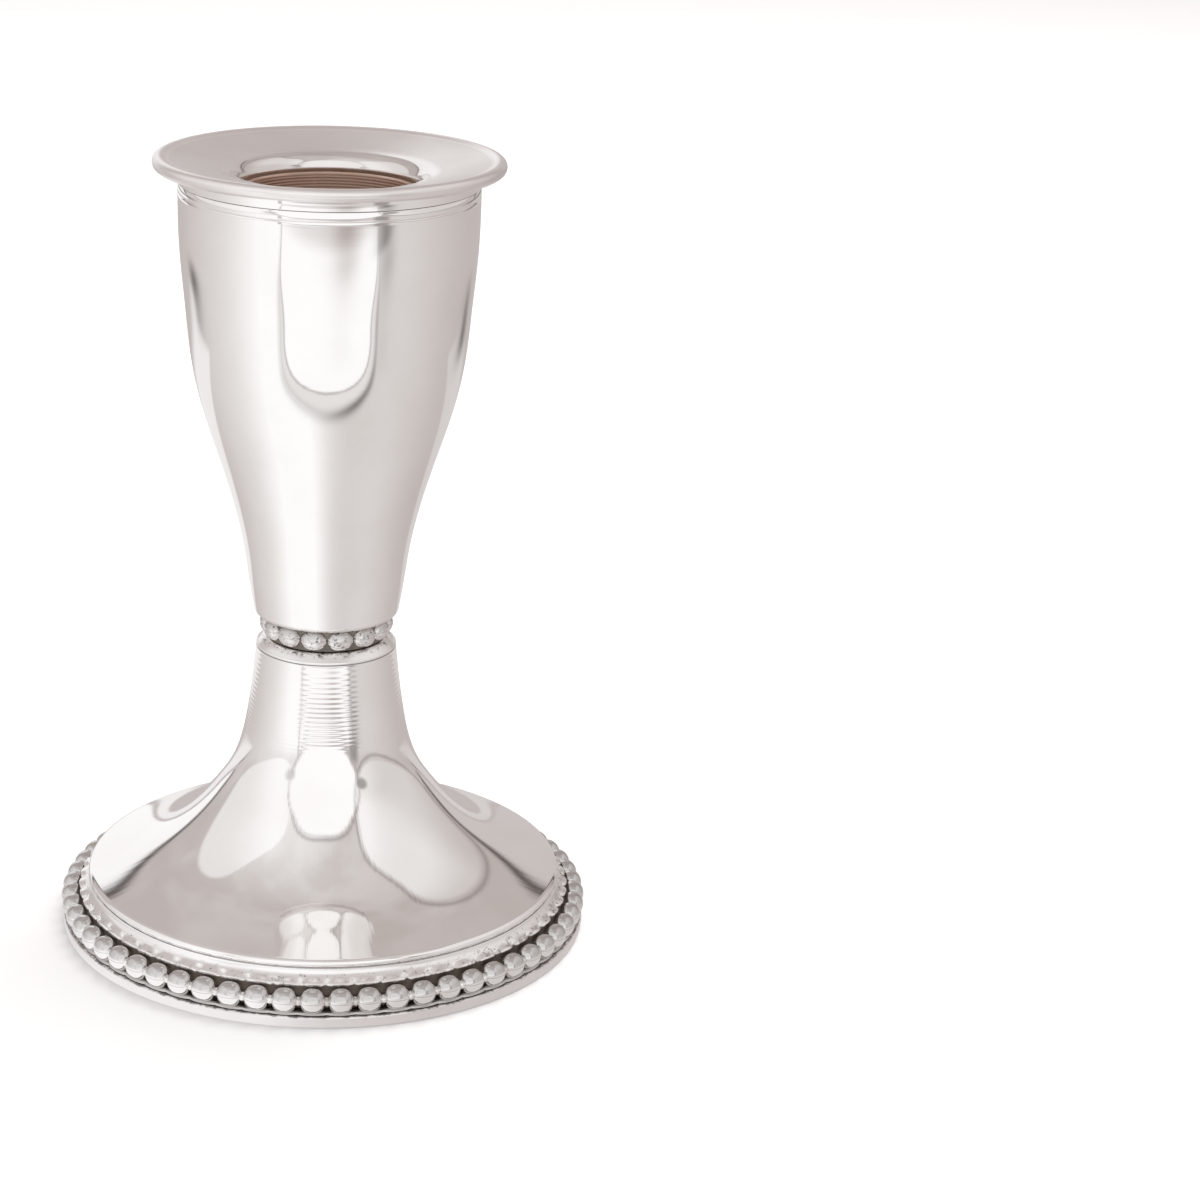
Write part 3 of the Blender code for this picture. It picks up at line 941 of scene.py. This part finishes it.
class Studio(Nodes):
    """The room round the object, by compass angle (0 in front, +90 at the right) and height angle, in degrees."""

    def __init__(self, tree):
        super().__init__(tree)
        x, y, z = self.separate(self.new("ShaderNodeTexCoord").outputs["Generated"])
        to_degrees = 180.0 / math.pi
        self.round = self.mul(self.math("ARCTAN2", x, self.mul(y, -1.0)), to_degrees)
        self.up = self.mul(self.math("ARCSINE", z), to_degrees)

    def edge(self, middle, half, square):
        """1 on the outline of a rounded box, less inside and more outside; square is 2 for an oval."""
        across = self.mul(self.math("ABSOLUTE", self.sub(self.round, middle[0])), 1.0 / half[0])
        upright = self.mul(self.math("ABSOLUTE", self.sub(self.up, middle[1])), 1.0 / half[1])
        reach = self.add(self.math("POWER", across, square), self.math("POWER", upright, square))
        return self.math("POWER", reach, 1.0 / square)

    def panel(self, middle, half, square=4.0, soft=0.12):
        """A soft-edged panel: 1 inside and 0 outside."""
        return self.sub(1.0, self.step(self.edge(middle, half, square), 1.0 - soft, 1.0 + soft))

    def rim(self, middle, half, square, width=0.025):
        """The thin frame of a panel."""
        return self.line(self.edge(middle, half, square), 1.05, width)

    def hill(self, middle, width):
        """A smooth swell of light round one compass angle."""
        away = self.mul(self.sub(self.round, middle), 1.0 / width)
        return self.math("EXPONENT", self.mul(self.mul(away, away), -1.0))

    def line(self, value, middle, width):
        """1 where a value is close to the middle, falling off on both sides."""
        away = self.mul(self.sub(value, middle), 1.0 / width)
        return self.math("EXPONENT", self.mul(self.mul(away, away), -1.0))


def world():
    scene_world = bpy.data.worlds.new("studio")
    scene_world.use_nodes = True
    bpy.context.scene.world = scene_world
    studio = Studio(scene_world.node_tree)
    add, sub, mul = studio.add, studio.sub, studio.mul
    background = scene_world.node_tree.nodes["Background"]

    low = sub(1.0, studio.step(studio.up, -4.0, 4.0))
    heading = studio.new("ShaderNodeTexCoord").outputs["Generated"]
    cloudy = studio.step(studio.noise(heading, 2.6, 3.0), 0.4, 0.62)
    swells = add(mul(studio.hill(-40.0, 75.0), 0.24), mul(studio.hill(60.0, 50.0), 0.1))
    ceiling = add(add(0.09, mul(cloudy, 0.12)), swells)
    level = add(mul(low, table_level(studio)), mul(sub(1.0, low), ceiling))
    fill = mul(studio.hill(-45.0, 50.0), mul(0.35, sub(1.0, studio.step(studio.up, 45.0, 80.0))))
    level = add(level, mul(fill, sub(1.0, low)))
    left_level = add(0.62, mul(studio.hill(-58.0, 32.0), 0.36))
    left_box = mul(studio.panel((-83.0, 27.0), (42.0, 26.0), 4.0, 0.05), left_level)
    front_box = studio.panel((-2.0, 25.5), (43.0, 28.5), 2.7, 0.04)
    right_level = add(add(0.42, mul(studio.step(studio.up, 20.0, 42.0), 0.22)), mul(studio.hill(45.0, 20.0), 0.25))
    right_level = mul(right_level, sub(1.0, mul(studio.step(studio.round, 105.0, 150.0), 0.6)))
    right_box = mul(studio.panel((91.0, 31.0), (51.0, 30.0), 3.5, 0.05), right_level)
    for box in (left_box, front_box, right_box):
        level = studio.math("MAXIMUM", level, box)
    sideways = studio.math("ABSOLUTE", studio.round)
    slant = sub(sideways, add(139.0, mul(studio.up, 0.6)))
    behind = mul(studio.step(slant, -1.0, 1.0), sub(1.0, studio.step(studio.up, 30.0, 33.0)))
    left_half = sub(1.0, studio.step(studio.round, -2.0, 2.0))
    level = studio.math("MAXIMUM", level, mul(behind, add(0.24, mul(left_half, 0.68))))
    above_table = studio.step(studio.up, -5.0, 0.0)
    outline = mul(mul(studio.line(slant, 0.0, 2.0), above_table), sub(1.0, studio.step(studio.up, 31.0, 34.0)))
    far_side = studio.step(sideways, 112.0, 130.0)
    dark = studio.math("MAXIMUM", mul(outline, 0.95), mul(far_side, mul(studio.line(studio.up, -5.0, 1.6), 0.75)))
    counter = mul(studio.panel((-5.0, -5.0), (24.0, 2.6), 5.0, 0.25), 0.4)
    marks = (
        (counter, 1.0),
        (studio.panel((38.0, -4.0), (6.0, 9.0), 3.0, 0.4), 0.55),
        (studio.panel((46.0, 18.0), (7.0, 4.5), 2.0, 0.4), 0.6),
        (studio.panel((-46.0, 12.0), (6.0, 4.0), 2.0, 0.5), 0.35),
        (studio.panel((-38.0, -6.0), (1.6, 8.0), 3.0, 0.4), 0.45),
    )
    for mark, depth in marks:
        dark = studio.math("MAXIMUM", dark, mul(mark, depth))
    for middle, half, square in (((-2.0, 25.5), (43.0, 28.5), 2.7), ((91.0, 31.0), (51.0, 30.0), 3.5)):
        dark = studio.math("MAXIMUM", dark, mul(studio.rim(middle, half, square), 0.4))
    colour = studio.mix(dark, studio.mix(level, STUDIO_GREY, STUDIO_WHITE), STUDIO_DARK)
    seen_directly = studio.new("ShaderNodeLightPath").outputs["Is Camera Ray"]
    colour = studio.mix(seen_directly, colour, BACKDROP)
    studio.link(colour, background.inputs["Color"])
    background.inputs["Strength"].default_value = 1.0


def table_level(room):
    """How light the table is by compass angle: brightest at the front left, dim behind."""
    level = 0.13
    swells = ((-42.0, 38.0, 0.86), (-100.0, 40.0, 0.25), (50.0, 50.0, 0.3), (-20.0, 25.0, 0.25))
    for middle, width, share in swells:
        level = room.add(level, room.mul(room.hill(middle, width), share))
    return level


def table_material():
    """What the silver sees of the table: light paper, and the curved edge of a white sheet in front."""
    material = bpy.data.materials.new("table_light")
    material.use_nodes = True
    tree = material.node_tree
    tree.nodes.remove(tree.nodes["Principled BSDF"])
    room = Studio(tree)
    add, sub, mul = room.add, room.sub, room.mul
    x, y, z = room.separate(room.new("ShaderNodeTexCoord").outputs["Object"])
    x, y = mul(x, 1.0 / MM), mul(y, 1.0 / MM)
    room.round = mul(room.math("ARCTAN2", x, mul(y, -1.0)), 180.0 / math.pi)
    away = room.math("ABSOLUTE", add(x, 8.0))
    bend = 35.0
    swing = room.math("EXPONENT", mul(sub(away, 110.0), 1.0 / bend))
    spread = mul(room.math("LOGARITHM", add(1.0, swing), math.e), bend)
    past_edge = sub(sub(-112.0, mul(spread, 1.6)), y)
    sheet = room.step(past_edge, -3.0, 5.0)
    middle = room.math("EXPONENT", mul(mul(x, x), -1.0 / 130.0**2))
    inner = sub(past_edge, add(14.0, mul(middle, 22.0)))
    beyond = room.step(inner, -2.0, 3.0)
    streak = mul(room.hill(12.0, 11.0), room.step(past_edge, 50.0, 220.0))
    far = room.step(mul(y, -1.0), 370.0, 470.0)
    tripod = mul(room.hill(43.0, 6.0), room.step(mul(y, -1.0), 120.0, 260.0))
    level = room.mix(sheet, table_grey(room), (0.62, 0.62, 0.62))
    level = room.mix(beyond, level, (1.0, 1.0, 1.0))
    level = sub(sub(level, mul(streak, 0.5)), mul(mul(far, beyond), 0.45))
    right_dark = room.step(x, -20.0, 60.0)
    smear = mul(room.line(past_edge, -2.0, 9.0), add(0.28, mul(mul(right_dark, middle), 0.55)))
    smear = mul(smear, room.scaled(middle, 0.0, 0.5, 0.25, 1.0))
    tripod_foot = mul(room.hill(40.0, 7.0), room.step(mul(y, -1.0), 300.0, 345.0))
    smear = room.math("MAXIMUM", smear, add(mul(tripod, 0.3), mul(tripod_foot, 0.4)))
    thin = mul(room.line(inner, 0.0, 3.0), 0.42)
    dark = room.math("MAXIMUM", smear, thin)
    behind = mul(room.step(y, 80.0, 105.0), sub(1.0, room.step(room.math("ABSOLUTE", x), 215.0, 250.0)))
    behind = mul(behind, sub(1.0, room.step(y, 200.0, 300.0)))
    left_half = sub(1.0, room.step(x, -30.0, 30.0))
    level = room.math("MAXIMUM", level, mul(behind, add(0.36, mul(left_half, 0.36))))
    blots = (((-250.0, 205.0), (26.0, 55.0), 0.75), ((200.0, 215.0), (26.0, 55.0), 0.75))
    for spot, size, depth in blots:
        across, along = mul(sub(x, spot[0]), 1 / size[0]), mul(sub(y, spot[1]), 1 / size[1])
        blot = room.math("EXPONENT", mul(add(mul(across, across), mul(along, along)), -1.0))
        dark = room.math("MAXIMUM", dark, mul(blot, depth))
    colour = room.mix(dark, room.mix(level, STUDIO_GREY, STUDIO_WHITE), STUDIO_DARK)
    emission = room.new("ShaderNodeEmission")
    room.link(colour, emission.inputs["Color"])
    tree.links.new(emission.outputs[0], tree.nodes["Material Output"].inputs["Surface"])
    return material


def table_grey(room):
    return room.combine(*[table_level(room)] * 3)


def mirrored_table():
    """A table that only reflections see, just under the paper."""
    build = bmesh.new()
    bmesh.ops.create_circle(build, cap_ends=True, segments=96, radius=0.6)
    bmesh.ops.translate(build, verts=build.verts, vec=(0.0, 0.0, -0.5 * MM))
    table = finish_mesh("mirrored_table", build, table_material())
    table.visible_camera = False
    table.visible_diffuse = False
    table.visible_shadow = False


BACKDROP = (0.72, 0.70, 0.69)
STUDIO_WHITE = (1.08, 1.08, 1.08)
STUDIO_GREY = (0.47, 0.415, 0.40)
STUDIO_DARK = (0.10, 0.085, 0.08)
CORE_SILVER = silver_material("neck_core_silver", (0.26, 0.23, 0.205), (0.06, 0.05, 0.044), 0.18, 3.0)[0]
STRIP_SILVER = add_patina_and_shade(
    silver_material("strip_silver", BRIGHT, BREATH, 0.14, 2.0), strip_patina_and_shade, (0.12, 0.098, 0.085)
)
FOOT_SILVER = add_patina_and_shade(
    silver_material("foot_silver", BRIGHT, BREATH, 0.018, 0.8, foot_satin, 0.0045), wall_grime_and_dark_lines
)
BAND_SILVER = add_patina_and_shade(
    silver_material("band_silver", (0.83, 0.80, 0.79), (0.78, 0.75, 0.74), 0.08, 1.5), band_patina
)
LINK_SILVER = silver_material("link_silver", BRIGHT, (0.62, 0.58, 0.55), 0.1, 2.0)[0]
NECK_SILVER = add_patina_and_shade(
    silver_material("neck_bead_silver", (0.84, 0.82, 0.81), (0.72, 0.69, 0.67), 0.06, 2.0),
    bead_patina_and_painted_shade(NECK_CIRCLE, NECK_MIDDLE, 1.38, 0.75),
)
BEAD_SILVER = add_patina_and_shade(
    silver_material("base_bead_silver", (0.88, 0.86, 0.85), (0.82, 0.80, 0.785), 0.03, 0.6),
    bead_patina_and_painted_shade(BEAD_CIRCLE, BEAD_MIDDLE, 1.64),
)
SOCKET_SILVER = silver_material("socket_silver", (0.72, 0.54, 0.45), (0.58, 0.42, 0.34), 0.3, 3.0)[0]
SILVER_INSIDE = silver_material("silver_unpolished", (0.74, 0.71, 0.68), (0.55, 0.51, 0.47), 0.28, 3.0)[0]
STEEL = plain_material(
    "zinc_plate", 1.0, (0.66, 0.67, 0.69), (0.52, 0.54, 0.57), (0.24, 0.42), 700.0, 0.000008
)[0]
BRASS = plain_material(
    "turned_brass", 1.0, (0.80, 0.60, 0.28), (0.60, 0.42, 0.19), (0.2, 0.38), 500.0, 0.000006
)[0]
PLASTER = plain_material(
    "cast_plaster", 0.0, (0.74, 0.71, 0.65), (0.60, 0.57, 0.51), (0.8, 0.95), 300.0, 0.0002
)[0]
BOARD = plain_material(
    "fibre_board", 0.0, (0.42, 0.33, 0.24), (0.27, 0.21, 0.15), (0.75, 0.92), 600.0, 0.0001, (1.0, 0.25, 1.0)
)[0]
FELT = felt_material()
PAPER = paper_material()

bpy.context.scene.view_settings.view_transform = "Standard"
camera()
world()
studio_floor()
mirrored_table()
lamp("lamp_above", (0.25, 0.3, 1.1), (1.0, 0.75), 10.0)
drip_pan()
pan_rim()
pan_collar()
candle_socket()
socket_floor()
vase()
neck()
foot()
bead_border()
base_ring()
hidden_pieces()
